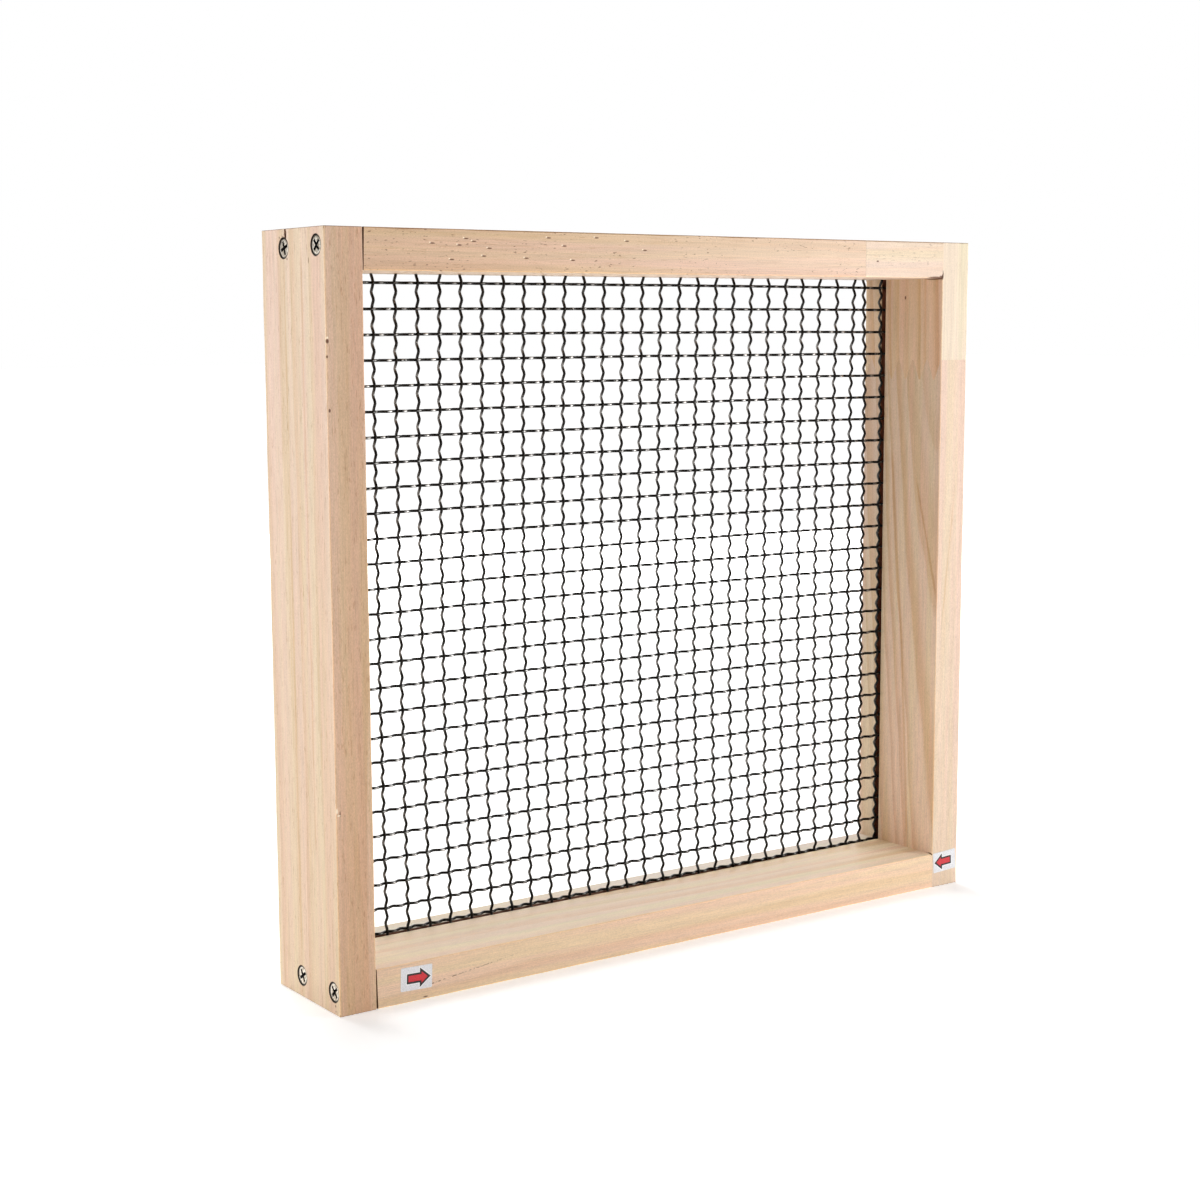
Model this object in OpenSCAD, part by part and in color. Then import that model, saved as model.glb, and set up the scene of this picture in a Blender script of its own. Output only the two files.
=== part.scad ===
// Sifting frame: a pine box frame that holds a crimped, woven steel screen in a sawn groove.
// It stands on its bottom rail, with the deep side of the box towards the front.
// Origin: middle of the footprint, at floor level. +X right, +Y back, +Z up.

/* [Frame] */
// Overall width
frame_w = 330; // [260:1:400]
// Overall height
frame_h = 300; // [240:1:380]
// Depth of the boards, front to back
board_d = 51; // [48:1:60]
// Thickness of the boards
board_t = 16; // [15:0.5:20]
// Chamfer along the long edges of a board
arris = 0.4; // [0.1:0.1:0.8]
// Open gap between the left stile and the end of each rail
left_gap = 0.4; // [0.1:0.05:0.6]
// Open gap between the right stile and the end of each rail
right_gap = 0.1; // [0.05:0.05:0.6]

/* [Finger joints] */
// Place of the joint along the top rail, from the frame's left side
top_joint = 267; // [200:1:290]
// Place of the joint along the right stile, from the floor
stile_joint = 247; // [180:1:270]
// Length of the fingers
finger_len = 9; // [6:0.5:12]
// Number of fingers across the board
finger_count = 11; // [7:2:15]

/* [Screen] */
// Wire diameter
wire_d = 1.2; // [0.9:0.1:1.2]
// Distance from one upright warp wire to the next
warp_pitch = 10; // [10:0.1:14]
// Distance from one level weft wire to the next
weft_pitch = 10.1; // [10:0.1:14]
// Distance from the front of the frame to the middle of the groove
screen_depth = 38.6; // [37:0.1:42]
// How far the middle of the screen bulges towards the back
bulge = 3.4; // [0:0.2:4]
// How far a wire bends to each side of its own middle line
crimp = 0.8; // [0.8:0.05:0.95]
// Distance from the left stile to the first warp wire
left_margin = 6.7; // [2:0.1:8]
// Distance from the bottom rail to the first weft wire
bottom_margin = 1.7; // [1:0.1:8]
// Width of the sawn groove that holds the screen
groove_w = 3; // [2.8:0.1:3.4]
// Depth of the groove
groove_depth = 4.5; // [3:0.5:6]

/* [Screws] */
// Thread diameter
screw_d = 4; // [3.5:0.1:4.5]
// Head diameter
head_d = 7.8; // [7:0.1:8.4]
// Overall length
screw_len = 35; // [30:1:40]
// Depth of the head below the surface
head_sink = 0.3; // [0.1:0.1:0.6]

/* [Labels] */
// Width of a label
label_w = 14.2; // [10:0.1:14.2]
// Height of a label
label_h = 9.5; // [7:0.5:10]
// Tilt of the left label, right end up
left_tilt = -2; // [-4:0.5:4]
// Tilt of the right label, right end up
right_tilt = 3; // [-4:0.5:4]

/* [Hidden] */

$fn = 48;
PINE = "burlywood";
STEEL = "dimgray";
eps = 0.01;

// Outer faces of the frame and the clear opening inside the boards
left = -frame_w / 2;
right = frame_w / 2;
front = -board_d / 2;
inner_w = frame_w - 2 * board_t;
inner_h = frame_h - 2 * board_t;
rail_len = inner_w - left_gap - right_gap;
rail_left = left + board_t + left_gap;

// Finger joints: flat on each finger tip, and the glue line between the two blocks
finger_flat = 0.8;
glue = 0.05;

// Screen: plane of its edges, first wires and number of wires that the opening takes
screen_y = front + screen_depth;
first_x = left + board_t + left_margin;
first_z = board_t + bottom_margin;
wire_clear = 0.2;
warp_count = floor((inner_w - left_margin - wire_d / 2 - wire_clear) / warp_pitch) + 1;
weft_count = floor((inner_h - bottom_margin - wire_d / 2 - wire_clear) / weft_pitch) + 1;
// A wire is a square bar with the same section area as the round wire
wire_side = wire_d * sqrt(PI) / 2;
// How far the wires' ends reach into the groove
tuck = groove_depth - 0.5;

// Screws: shank and core radii, head height, plain shank and thread pitch
shank_r = screw_d / 2 - 0.4;
core_r = screw_d / 2 - 0.75;
head_h = 2.4;
head_edge = 0.3;
plain_len = 12;
thread_pitch = 1.8;
tip_len = 5;
hole_clear = 0.1;
// Phillips recess: wing thickness, span at the top and at the bottom, depth
wing_t = 0.9;
wing_span = 4.6;
wing_span_low = 1.4;
recess_depth = 2;

// Each screw was driven by eye: distance from the front, from the nearer end, and turn of its recess
TOP_FRONT = [6.4, 6.8, 43];
TOP_REAR = [32.6, 7.2, 20];
BOTTOM_FRONT = [4.7, 8.8, 45];
BOTTOM_REAR = [31.2, 8.6, 34];

label_t = 0.1;
// Lower left corners of the labels, from the frame's left side and from the floor
left_label_at = [26.7, 4.9];
right_label_at = [frame_w - board_t + 1, 6.6];

// Board section: depth along Y, thickness along X from the outer face at 0 to the grooved inner face
module board_section() {
    half = board_d / 2;
    g0 = screen_y - groove_w / 2;
    g1 = screen_y + groove_w / 2;
    polygon([
        [arris, -half], [board_t - arris, -half], [board_t, arris - half],
        [board_t, g0], [board_t - groove_depth, g0],
        [board_t - groove_depth, g1], [board_t, g1],
        [board_t, half - arris], [board_t - arris, half], [arris, half],
        [0, half - arris], [0, arris - half]
    ]);
}

// Upright board of a given length whose grooved face looks along +X
module board(length) {
    linear_extrude(height = length) board_section();
}

// Everything below a finger joint that starts at the tips, finger_len up, on the front face
module finger_side() {
    step = board_d / finger_count;
    edge = [
        for (k = [0 : finger_count])
            for (s = [-1, 1])
                [front + k * step + s * finger_flat / 2, ((k + 1) % 2) * finger_len]
    ];
    reach = 2 * frame_w;
    translate([-1, 0, 0])
        rotate([90, 0, 90])
            linear_extrude(height = board_t + 2)
                polygon(concat(
                    [[front - 5, -reach], [front - 5, finger_len]],
                    edge,
                    [[-front + 5, 0], [-front + 5, -reach]]
                ));
}

// The part of a board below, or above, a finger joint whose line on the front face is at height z
module block_below(length, z) {
    intersection() {
        board(length);
        translate([0, 0, z - finger_len]) finger_side();
    }
}

module block_above(length, z) {
    difference() {
        board(length);
        translate([0, 0, z - finger_len + glue]) finger_side();
    }
}

// Lays an upright board down as the bottom rail: the grooved face looks up, the length runs along +X
module lay_bottom() {
    translate([rail_left, 0, 0])
        mirror([1, 0, 0])
            rotate([0, -90, 0])
                children();
}

// The same for the top rail: the grooved face looks down
module lay_top() {
    translate([0, 0, frame_h])
        mirror([0, 0, 1])
            lay_bottom()
                children();
}

// Screw along +X: the head's top lies at the origin and the point at screw_len
module screw(turn) {
    threads = floor((screw_len - plain_len - tip_len) / thread_pitch);
    thread_end = plain_len + threads * thread_pitch;
    ring = [
        for (k = [0 : threads - 1])
            for (p = [[core_r, 0.1], [screw_d / 2, 0.8], [screw_d / 2, 1], [core_r, 1.7]])
                [p[0], plain_len + k * thread_pitch + p[1]]
    ];
    rotate([0, 90, 0])
        difference() {
            rotate_extrude()
                polygon(concat(
                    [[0, 0], [head_d / 2, 0], [head_d / 2, head_edge]],
                    [[shank_r, head_h], [shank_r, plain_len]],
                    ring,
                    [[core_r, thread_end], [0, screw_len]]
                ));
            rotate([0, 0, -turn]) phillips_recess();
        }
}

module phillips_recess() {
    intersection() {
        union() {
            for (a = [0, 90])
                rotate([0, 0, a])
                    translate([-wing_span / 2, -wing_t / 2, -eps])
                        cube([wing_span, wing_t, recess_depth]);
        }
        translate([0, 0, -2 * eps])
            cylinder(h = recess_depth + 3 * eps, r1 = wing_span / 2, r2 = wing_span_low / 2);
    }
}

// Hole for a screw along +X, with a countersink for its head at the origin
module screw_hole() {
    rotate([0, 90, 0]) {
        translate([0, 0, -1])
            cylinder(h = screw_len + 1.5, r = screw_d / 2 + hole_clear);
        translate([0, 0, -1])
            cylinder(h = 1 + head_sink + head_edge, r = head_d / 2 + hole_clear);
        translate([0, 0, head_sink + head_edge - eps])
            cylinder(h = head_h - head_edge, r1 = head_d / 2 + hole_clear, r2 = shank_r + hole_clear);
    }
}

// Puts something at a screw's place: side -1 is the left stile, end 0 the bottom and 1 the top
module at_spot(spot, side, end) {
    z = end == 1 ? frame_h - spot[1] : spot[1];
    translate([side * right, front + spot[0], z])
        mirror([side == 1 ? 1 : 0, 0, 0])
            children();
}

module holes(side, end) {
    spots = end == 1 ? [TOP_FRONT, TOP_REAR] : [BOTTOM_FRONT, BOTTOM_REAR];
    for (spot = spots)
        at_spot(spot, side, end) screw_hole();
}

module placed_screw(spot, side, end) {
    color(STEEL)
        at_spot(spot, side, end)
            translate([head_sink, 0, 0])
                screw(spot[2]);
}

module left_stile() {
    color(PINE)
        difference() {
            translate([left, 0, 0]) board(frame_h);
            holes(-1, 0);
            holes(-1, 1);
        }
}

module right_stile_lower() {
    color(PINE)
        difference() {
            translate([right, 0, 0]) mirror([1, 0, 0]) block_below(frame_h, stile_joint);
            holes(1, 0);
        }
}

module right_stile_upper() {
    color(PINE)
        difference() {
            translate([right, 0, 0]) mirror([1, 0, 0]) block_above(frame_h, stile_joint);
            holes(1, 1);
        }
}

module top_rail_left() {
    color(PINE)
        difference() {
            lay_top() block_below(rail_len, left + top_joint - rail_left);
            holes(-1, 1);
        }
}

module top_rail_right() {
    color(PINE)
        difference() {
            lay_top() block_above(rail_len, left + top_joint - rail_left);
            holes(1, 1);
        }
}

module bottom_rail() {
    color(PINE)
        difference() {
            lay_bottom() board(rail_len);
            holes(-1, 0);
            holes(1, 0);
        }
}

// Zigzag between -1 and 1: -1 or 1 at each whole number u, starting from 1 at 0
function zigzag(u) = let (k = floor(u), f = u - k) (1 - 2 * f) * (k % 2 == 0 ? 1 : -1);

// Bulge across half an opening: 1 in the middle at t = 0, and 0 at the boards at t = 1 and beyond
function arch(t) = max(0, 1 - t * t);

// Wire through an opening of a given length around middle, in the plane of its bends.
// first is where it meets the first crossing wire, spacing the crossing wires' pitch, and rise its bulge.
// It bends three times from one crossing to the next.
module crimped_wire(middle, length, first, spacing, side, rise) {
    bend = spacing / 3;
    u0 = (middle - length / 2 - tuck - first) / bend;
    u1 = (middle + length / 2 + tuck - first) / bend;
    stops = concat([u0], [for (k = [floor(u0) + 1 : ceil(u1) - 1]) k], [u1]);
    line = [
        for (u = stops)
            let (along = first + u * bend)
                [along, side * crimp * zigzag(u) + rise * arch((along - middle) / (length / 2))]
    ];
    near = [for (p = line) [p[0], p[1] - wire_side / 2]];
    far = [for (i = [len(line) - 1 : -1 : 0]) [line[i][0], line[i][1] + wire_side / 2]];
    translate([0, 0, -wire_side / 2])
        linear_extrude(height = wire_side)
            polygon(concat(near, far));
}

// Every second warp wire, from wire number start: upright, bending to the front and back
module warp_wires(start) {
    color(STEEL)
        for (i = [start : 2 : warp_count - 1]) {
            x = first_x + i * warp_pitch;
            side = i % 2 == 0 ? -1 : 1;
            rise = bulge * arch(x / (inner_w / 2));
            translate([x, screen_y, 0])
                rotate([0, -90, 0])
                    crimped_wire(frame_h / 2, inner_h, first_z, weft_pitch, side, rise);
        }
}

// Every second weft wire, from wire number start: level, passing on the other side of each warp wire
module weft_wires(start) {
    color(STEEL)
        for (j = [start : 2 : weft_count - 1]) {
            z = first_z + j * weft_pitch;
            side = j % 2 == 0 ? 1 : -1;
            rise = bulge * arch((z - frame_h / 2) / (inner_h / 2));
            translate([0, screen_y, z])
                crimped_wire(0, inner_w, first_x, warp_pitch, side, rise);
        }
}

module label() {
    rotate([90, 0, 0])
        linear_extrude(height = label_t)
            square([label_w, label_h]);
}

module label_left() {
    color("whitesmoke")
        translate([left + left_label_at[0], front, left_label_at[1]])
            rotate([0, -left_tilt, 0])
                label();
}

module label_right() {
    color("whitesmoke")
        translate([left + right_label_at[0], front, right_label_at[1]])
            rotate([0, -right_tilt, 0])
                label();
}

left_stile();
right_stile_upper();
right_stile_lower();
top_rail_left();
top_rail_right();
bottom_rail();
warp_wires(0);  // warp_wires_a
warp_wires(1);  // warp_wires_b
weft_wires(0);  // weft_wires_a
weft_wires(1);  // weft_wires_b
placed_screw(TOP_FRONT, -1, 1);  // screw_left_top_front
placed_screw(TOP_REAR, -1, 1);  // screw_left_top_rear
placed_screw(BOTTOM_FRONT, -1, 0);  // screw_left_bottom_front
placed_screw(BOTTOM_REAR, -1, 0);  // screw_left_bottom_rear
placed_screw(TOP_FRONT, 1, 1);  // screw_right_top_front
placed_screw(TOP_REAR, 1, 1);  // screw_right_top_rear
placed_screw(BOTTOM_FRONT, 1, 0);  // screw_right_bottom_front
placed_screw(BOTTOM_REAR, 1, 0);  // screw_right_bottom_rear
label_left();
label_right();
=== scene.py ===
"""Sifting frame: a pine box frame that holds a crimped, woven steel screen in a sawn groove.

Lengths are millimetres in the CAD's own frame, from the middle of the footprint at floor level, with
+X right, +Y back and +Z up. make_object() turns them into metres.
"""

import math
import random

import bmesh
import bpy
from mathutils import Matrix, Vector, geometry, noise


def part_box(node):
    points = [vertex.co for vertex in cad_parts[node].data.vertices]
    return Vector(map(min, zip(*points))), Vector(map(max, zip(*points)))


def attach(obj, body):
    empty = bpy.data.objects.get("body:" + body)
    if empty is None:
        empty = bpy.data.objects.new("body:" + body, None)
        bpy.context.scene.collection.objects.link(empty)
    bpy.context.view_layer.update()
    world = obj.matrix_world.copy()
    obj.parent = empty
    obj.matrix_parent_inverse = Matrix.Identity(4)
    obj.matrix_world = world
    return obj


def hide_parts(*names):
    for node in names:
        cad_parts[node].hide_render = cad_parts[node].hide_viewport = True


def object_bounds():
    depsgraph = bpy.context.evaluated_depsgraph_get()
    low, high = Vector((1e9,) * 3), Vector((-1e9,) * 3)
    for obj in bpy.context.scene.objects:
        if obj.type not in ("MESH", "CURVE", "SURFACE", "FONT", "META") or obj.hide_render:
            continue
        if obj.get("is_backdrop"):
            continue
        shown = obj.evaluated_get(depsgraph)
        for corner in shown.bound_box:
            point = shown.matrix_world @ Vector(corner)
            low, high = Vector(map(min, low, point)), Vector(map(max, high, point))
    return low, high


MM = 0.001

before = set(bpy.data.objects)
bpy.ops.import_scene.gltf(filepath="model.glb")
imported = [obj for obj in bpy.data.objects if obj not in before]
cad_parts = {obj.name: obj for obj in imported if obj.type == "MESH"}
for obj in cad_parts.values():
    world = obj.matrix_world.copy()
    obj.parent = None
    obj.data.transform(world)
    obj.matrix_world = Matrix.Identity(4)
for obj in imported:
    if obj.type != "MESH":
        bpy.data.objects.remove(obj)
cad_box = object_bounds()


def box_mm(node):
    """Lowest and highest corner of a CAD node, in millimetres."""
    low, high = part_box(node)
    return low / MM, high / MM


# The boards' outer faces, and the left end of the two rails
STILE_LOW, STILE_HIGH = box_mm("left_stile")
LEFT, FRONT = STILE_LOW.x, STILE_LOW.y
BACK, TOP = STILE_HIGH.y, STILE_HIGH.z
RIGHT = box_mm("right_stile_lower")[1].x
BOARD_T = STILE_HIGH.x - LEFT
BOARD_D = BACK - FRONT
RAIL_LEFT = box_mm("bottom_rail")[0].x
# How much shorter than the CAD's the rails are on the left, and how far their sawn ends are out of square
RAIL_SHORT = 0.15
END_SKEW = 0.45

# Saw groove that holds the screen
GROOVE_W = 3.0
GROOVE_DEPTH = 4.5

# Finger joints, as on the CAD boards
FINGER_LEN = 9.0
FINGER_COUNT = 11
FINGER_FLAT = 0.8
GLUE = 0.06
CUT_MARGIN = 5.0
TOP_JOINT = box_mm("top_rail_right")[0].x + FINGER_LEN
STILE_JOINT = box_mm("right_stile_upper")[0].z + FINGER_LEN

# Screen wire, and the side of the CAD's square wire. The wires touch where they cross, and bend further
# out between the crossings
WIRE_D = 1.2
WIRE_SIDE = WIRE_D * math.sqrt(math.pi) / 2
WARP_LOW, WARP_HIGH = box_mm("warp_wires_a")
WEFT_LOW, WEFT_HIGH = box_mm("weft_wires_a")
WARP_PITCH = box_mm("warp_wires_b")[0].x - WARP_LOW.x
WEFT_PITCH = box_mm("weft_wires_b")[0].z - WEFT_LOW.z
FIRST_X = WARP_LOW.x + WIRE_SIDE / 2
FIRST_Z = WEFT_LOW.z + WIRE_SIDE / 2
WARP_COUNT = 30
WEFT_COUNT = 27
# The screen's edges lie in the groove, and its middle bulges to the back
SCREEN_Y = FRONT + 38.6
BULGE = 3.4
HALF_OPEN_X = RIGHT - BOARD_T
HALF_OPEN_Z = TOP / 2 - BOARD_T
CRIMP_CROSSING = 0.62
CRIMP_BETWEEN = 0.85
WIRE_SIDES = 10
# Near the top right corner the uprights were pressed together in pairs: the place, reach and strength
PINCH_X = FIRST_X + 27.5 * WARP_PITCH
PINCH_REACH = 12.0
PINCH_SHIFT = 2.3
PINCH_LOW = 240.0
PINCH_RISE = 30.0
# The weave also wanders at random by up to about this much
WANDER = 0.15

# Screws: radii, lengths and the cross recess
HEAD_R = 3.9
HEAD_SINK = 0.3
HEAD_EDGE = 0.3
HEAD_H = 2.4
SHANK_R = 1.6
CORE_R = 1.25
THREAD_R = 2.0
SCREW_LEN = 35.0
PLAIN_LEN = 12.0
TIP_LEN = 5.0
THREAD_PITCH = 1.8
THREAD_FLANK = 0.28
HOLE_CLEAR = 0.1
HOLE_TORN = 0.16
HEAD_SIDES = 48
HOLE_SIDES = 36
# (depth below the head's top, reach, half width) of the recess, whose walls lean in towards its floor
RECESS_LEVELS = [(-0.5, 2.85, 0.66), (0.05, 2.7, 0.62), (1.7, 1.05, 0.42), (2.2, 0.3, 0.2)]
# Turn of each cross recess, in degrees, seen from outside the frame
TURNS = {"top_front": 43, "top_rear": 20, "bottom_front": 45, "bottom_rear": 34}

# Arrow labels: size, tilt with the right end up, corner radius, and the arrow's black outline, whose
# tip, neck and tail are measured from the label's tip end
LABEL_W = 14.2
LABEL_H = 9.5
LABEL_T = 0.1
LABEL_TILT = {"label_left": -2, "label_right": 3}
LABEL_CORNER = 0.5
ARROW_TIP = 0.7
ARROW_NECK = 5.6
ARROW_TAIL = 11.5
ARROW_HALF = 2.05
ARROW_BARB = 4.0
ARROW_LINE = 0.8
ARROW_KEY = 0.3


# ------------------------ meshes


def make_object(name, bm, materials, smooth_angle=None):
    """Turns a bmesh in millimetres into a scene object in metres."""
    bmesh.ops.recalc_face_normals(bm, faces=bm.faces)
    bmesh.ops.scale(bm, vec=Vector((MM, MM, MM)), verts=bm.verts)
    mesh = bpy.data.meshes.new(name)
    bm.to_mesh(mesh)
    bm.free()
    for material in materials:
        mesh.materials.append(material)
    piece = bpy.data.objects.new(name, mesh)
    bpy.context.scene.collection.objects.link(piece)
    if smooth_angle is not None:
        mesh.shade_smooth()
        mesh.set_sharp_from_angle(angle=math.radians(smooth_angle))
    return piece


def carve(piece, cutters, operation="DIFFERENCE"):
    """Cuts closed solids out of a piece, or keeps only what they share with it, and removes them."""
    for cutter in cutters:
        modifier = piece.modifiers.new("carve", "BOOLEAN")
        modifier.operation = operation
        modifier.solver = "EXACT"
        modifier.object = cutter
    bpy.context.view_layer.update()
    graph = bpy.context.evaluated_depsgraph_get()
    carved = bpy.data.meshes.new_from_object(piece.evaluated_get(graph))
    piece.modifiers.clear()
    piece.data = carved
    for cutter in cutters:
        bpy.data.objects.remove(cutter)


def add_prism(bm, outline, offset, material=0):
    """Extrudes a flat outline of points by an offset vector into a closed solid."""
    near = [bm.verts.new(point) for point in outline]
    far = [bm.verts.new(Vector(point) + Vector(offset)) for point in outline]
    faces = [bm.faces.new(near), bm.faces.new(list(reversed(far)))]
    for k in range(len(outline)):
        after = (k + 1) % len(outline)
        faces.append(bm.faces.new([near[k], far[k], far[after], near[after]]))
    for face in faces:
        face.material_index = material


def add_rings(bm, rings, material=0):
    """Joins rings of points into a tube with closed ends. Every ring has the same number of points."""
    loops = [[bm.verts.new(point) for point in ring] for ring in rings]
    faces = [bm.faces.new(list(reversed(loops[0]))), bm.faces.new(loops[-1])]
    for lower, upper in zip(loops, loops[1:]):
        for k in range(len(lower)):
            after = (k + 1) % len(lower)
            faces.append(bm.faces.new([lower[k], lower[after], upper[after], upper[k]]))
    for face in faces:
        face.material_index = material


# ------------------------ node graphs


class Graph:
    """Short calls that build one material's nodes."""

    def __init__(self, name):
        self.material = bpy.data.materials.new(name)
        self.material.use_nodes = True
        self.tree = self.material.node_tree
        self.shader = self.tree.nodes["Principled BSDF"]
        place = self.node("TexCoord")
        self.normal = place.outputs["Normal"]
        self.place = self.vector("SCALE", place.outputs["Object"], scale=1 / MM)

    def node(self, kind, **settings):
        made = self.tree.nodes.new("ShaderNode" + kind)
        for key, value in settings.items():
            setattr(made, key, value)
        return made

    def feed(self, socket, value):
        if isinstance(value, bpy.types.NodeSocket):
            self.tree.links.new(value, socket)
        else:
            socket.default_value = value

    def math(self, operation, *values, clamp=False):
        made = self.node("Math", operation=operation, use_clamp=clamp)
        for socket, value in zip(made.inputs, values):
            self.feed(socket, value)
        return made.outputs[0]

    def line(self, value, slope, offset):
        return self.math("MULTIPLY_ADD", value, slope, offset)

    def times(self, product, *values):
        for value in values:
            product = self.math("MULTIPLY", product, value)
        return product

    def vector(self, operation, *values, scale=None):
        made = self.node("VectorMath", operation=operation)
        for socket, value in zip(made.inputs, values):
            self.feed(socket, value)
        if scale is not None:
            self.feed(made.inputs["Scale"], scale)
        return made.outputs["Value" if operation in ("LENGTH", "DOT_PRODUCT", "DISTANCE") else "Vector"]

    def split(self, vector):
        made = self.node("SeparateXYZ")
        self.feed(made.inputs[0], vector)
        return made.outputs[0], made.outputs[1], made.outputs[2]

    def join(self, x, y, z):
        made = self.node("CombineXYZ")
        for socket, value in zip(made.inputs, (x, y, z)):
            self.feed(socket, value)
        return made.outputs[0]

    def noise(self, vector, stretch, detail=2.0, seed=0.0):
        """Noise from 0 to 1. stretch is how many features pass in each millimetre along each axis."""
        scaled = self.vector("MULTIPLY_ADD", vector, stretch, (seed, 1.7 * seed, 2.3 * seed))
        made = self.node("TexNoise")
        made.inputs["Scale"].default_value = 1.0
        made.inputs["Detail"].default_value = detail
        self.feed(made.inputs["Vector"], scaled)
        return made.outputs[0]

    def ramp(self, value, low, high, to_low=0.0, to_high=1.0):
        """Smooth step from to_low at low to to_high at high."""
        made = self.node("MapRange", interpolation_type="SMOOTHSTEP")
        for socket, number in zip(made.inputs, (value, low, high, to_low, to_high)):
            self.feed(socket, number)
        return made.outputs[0]

    def mix(self, factor, first, second, blend="MIX"):
        made = self.node("Mix", data_type="RGBA", blend_type=blend)
        self.feed(made.inputs[0], factor)
        self.feed(made.inputs[6], first)
        self.feed(made.inputs[7], second)
        return made.outputs[2]

    def from_spot(self, place, size):
        """Distance from a spot's middle, in units of its size: 1 at its rim."""
        return self.vector("LENGTH", self.vector("DIVIDE", self.vector("SUBTRACT", self.place, place), size))

    def follow(self, start, end):
        """For a line: the vector from its start, its direction, the distance run along it, and its length."""
        line = Vector(end) - Vector(start)
        from_start = self.vector("SUBTRACT", self.place, start)
        run = self.vector("DOT_PRODUCT", from_start, tuple(line.normalized()))
        return from_start, line.normalized(), run, line.length

    def skin(self, colour, roughness, metallic=0.0):
        inputs = self.shader.inputs
        self.feed(inputs["Base Color"], colour)
        self.feed(inputs["Roughness"], roughness)
        inputs["Metallic"].default_value = metallic

    def bump(self, height, distance, strength=1.0):
        made = self.node("Bump")
        made.inputs["Strength"].default_value = strength
        made.inputs["Distance"].default_value = distance * MM
        self.feed(made.inputs["Height"], height)
        self.feed(self.shader.inputs["Normal"], made.outputs[0])


def rgb(red, green, blue):
    """A linear colour from display values of 0 to 255."""
    linear = [((c / 255 + 0.055) / 1.055) ** 2.4 if c > 10 else c / 3295 for c in (red, green, blue)]
    return (*linear, 1.0)


# Tone of a growth ring's late wood, of pink and cream wood, and the painted shade on the inner faces behind
# the screen
LATEWOOD = (0.86, 0.73, 0.58, 1)
PINK_WOOD = (1.015, 0.95, 0.985, 1)
CREAM_WOOD = (0.99, 0.995, 0.935, 1)
SHADE_BEHIND_SCREEN = {True: (0.87, 0.89, 0.9, 1), False: (0.68, 0.72, 0.79, 1)}
# Tones of the short brown marks and of the longer streaks in the grain
TICK = (0.6, 0.44, 0.31, 1)
STREAK = (0.86, 0.79, 0.7, 1)
# Tones of the painted highlight along the long edges, of the darker edges at the ends, and of the painted
# shade on a rail's end deep in its corner joint
ARRIS_HIGHLIGHT = (1.2, 1.18, 1.08, 1)
DARK_END_EDGE = (0.5, 0.42, 0.36, 1)
JOINT_GAP_SHADE = (0.2, 0.11, 0.075, 1)
# Painted shade round a screw head; resin, also used for painted shade in splits, a crack and corner gaps; and
# the pale fibres of a torn spot
SCREW_RIM_SHADE = rgb(44, 28, 20)
RESIN_AND_SHADE = rgb(92, 50, 28)
TORN_FIBRE = rgb(252, 236, 212)


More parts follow.
